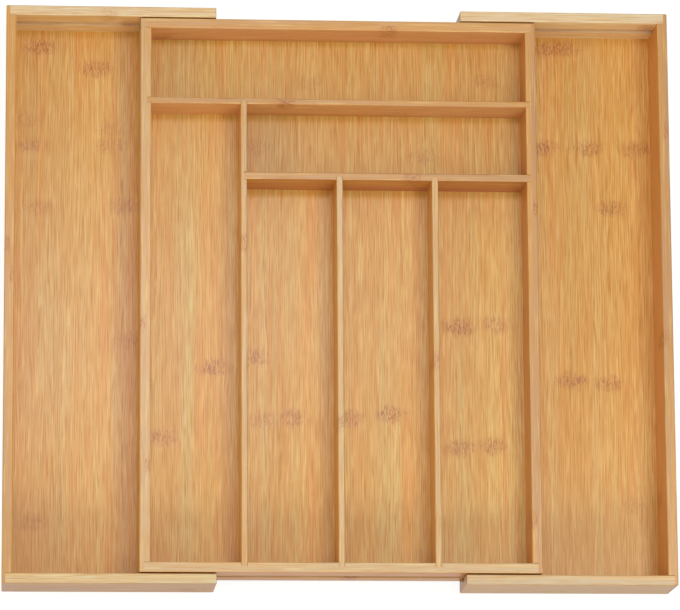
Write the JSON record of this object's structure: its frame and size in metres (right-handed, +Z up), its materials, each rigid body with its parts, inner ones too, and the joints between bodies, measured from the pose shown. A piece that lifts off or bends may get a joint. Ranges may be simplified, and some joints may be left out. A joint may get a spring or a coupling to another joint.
{
  "type": "cutlery tray",
  "caption": "Expandable bamboo cutlery tray for a drawer: a divided centre tray between side trays that slide out from under it on grooved rails.",
  "frame": {"origin": "middle of the underside with both wings pulled out, on the drawer's floor", "axes": "+X to the right across the drawer, +Y from the user to the back of the drawer, +Z up"},
  "size_m": [0.4946, 0.432, 0.05],
  "materials": {
    "bamboo_wall": "satin clear lacquer",
    "bamboo_panel": "satin clear lacquer",
    "bamboo_divider": "satin clear lacquer",
    "bamboo_tongue": "bare, waxed"
  },
  "bodies": {
    "tray": {"front_rail": "bamboo_wall", "back_rail": "bamboo_wall", "left_side_wall": "bamboo_wall", "right_side_wall": "bamboo_wall", "base_panel": "bamboo_panel", "upper_cross_divider": "bamboo_divider", "lower_cross_divider": "bamboo_divider", "long_divider": "bamboo_divider", "left_short_divider": "bamboo_divider", "right_short_divider": "bamboo_divider", "left_tray_front_tongue": "bamboo_tongue", "left_tray_back_tongue": "bamboo_tongue", "right_tray_front_tongue": "bamboo_tongue", "right_tray_back_tongue": "bamboo_tongue"},
    "left_wing": {"left_wing_outer_wall": "bamboo_wall", "left_wing_base_panel": "bamboo_panel", "left_wing_front_rail": "bamboo_wall", "left_wing_back_rail": "bamboo_wall", "left_wing_front_tongue": "bamboo_tongue", "left_wing_back_tongue": "bamboo_tongue"},
    "right_wing": {"right_wing_outer_wall": "bamboo_wall", "right_wing_base_panel": "bamboo_panel", "right_wing_front_rail": "bamboo_wall", "right_wing_back_rail": "bamboo_wall", "right_wing_front_tongue": "bamboo_tongue", "right_wing_back_tongue": "bamboo_tongue"}
  },
  "joints": [
    {"name": "left_wing_slide", "type": "slide", "parent": "tray", "child": "left_wing", "axis": [1, 0, 0], "range_m": [0, 0.091]},
    {"name": "right_wing_slide", "type": "slide", "parent": "tray", "child": "right_wing", "axis": [-1, 0, 0], "range_m": [0, 0.091]}
  ]
}
